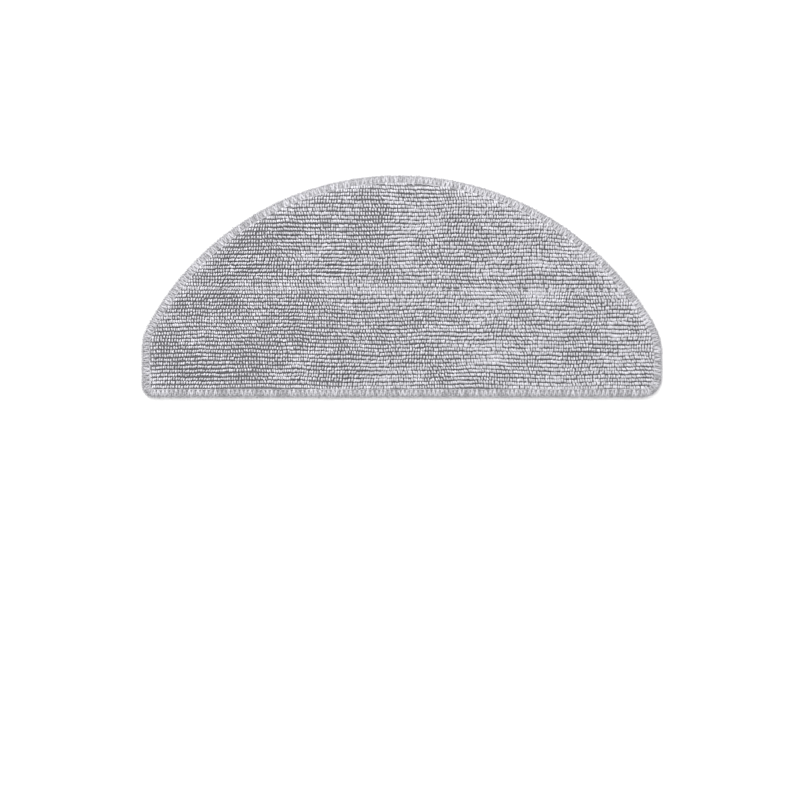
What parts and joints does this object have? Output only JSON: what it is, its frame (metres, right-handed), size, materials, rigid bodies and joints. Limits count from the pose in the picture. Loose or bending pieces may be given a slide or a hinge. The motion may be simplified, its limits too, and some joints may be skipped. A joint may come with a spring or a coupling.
{
  "type": "robot vacuum mop pad",
  "caption": "Half-moon looped microfibre mop pad for a floor robot, with a straight seam across it and an overlocked edge.",
  "frame": {"origin": "under the middle of the pad's box, on the plane that its back lies on", "axes": "+X along the flat edge to the right as in the picture, +Y from the flat edge to the top of the arc, +Z out of the mopping face"},
  "size_m": [0.285, 0.1216, 0.0048],
  "materials": {
    "looped_microfibre": "looped pile",
    "backing_fabric": "brushed knit",
    "overlock_thread": "woolly thread",
    "seam_thread": "spun thread"
  },
  "bodies": {
    "root": {"face_cloth": "looped_microfibre", "backing_cloth": "backing_fabric", "upper_looper_thread": "overlock_thread", "lower_looper_thread": "overlock_thread", "border_needle_thread": "overlock_thread", "seam_needle_thread": "seam_thread", "seam_bobbin_thread": "seam_thread"}
  },
  "joints": []
}
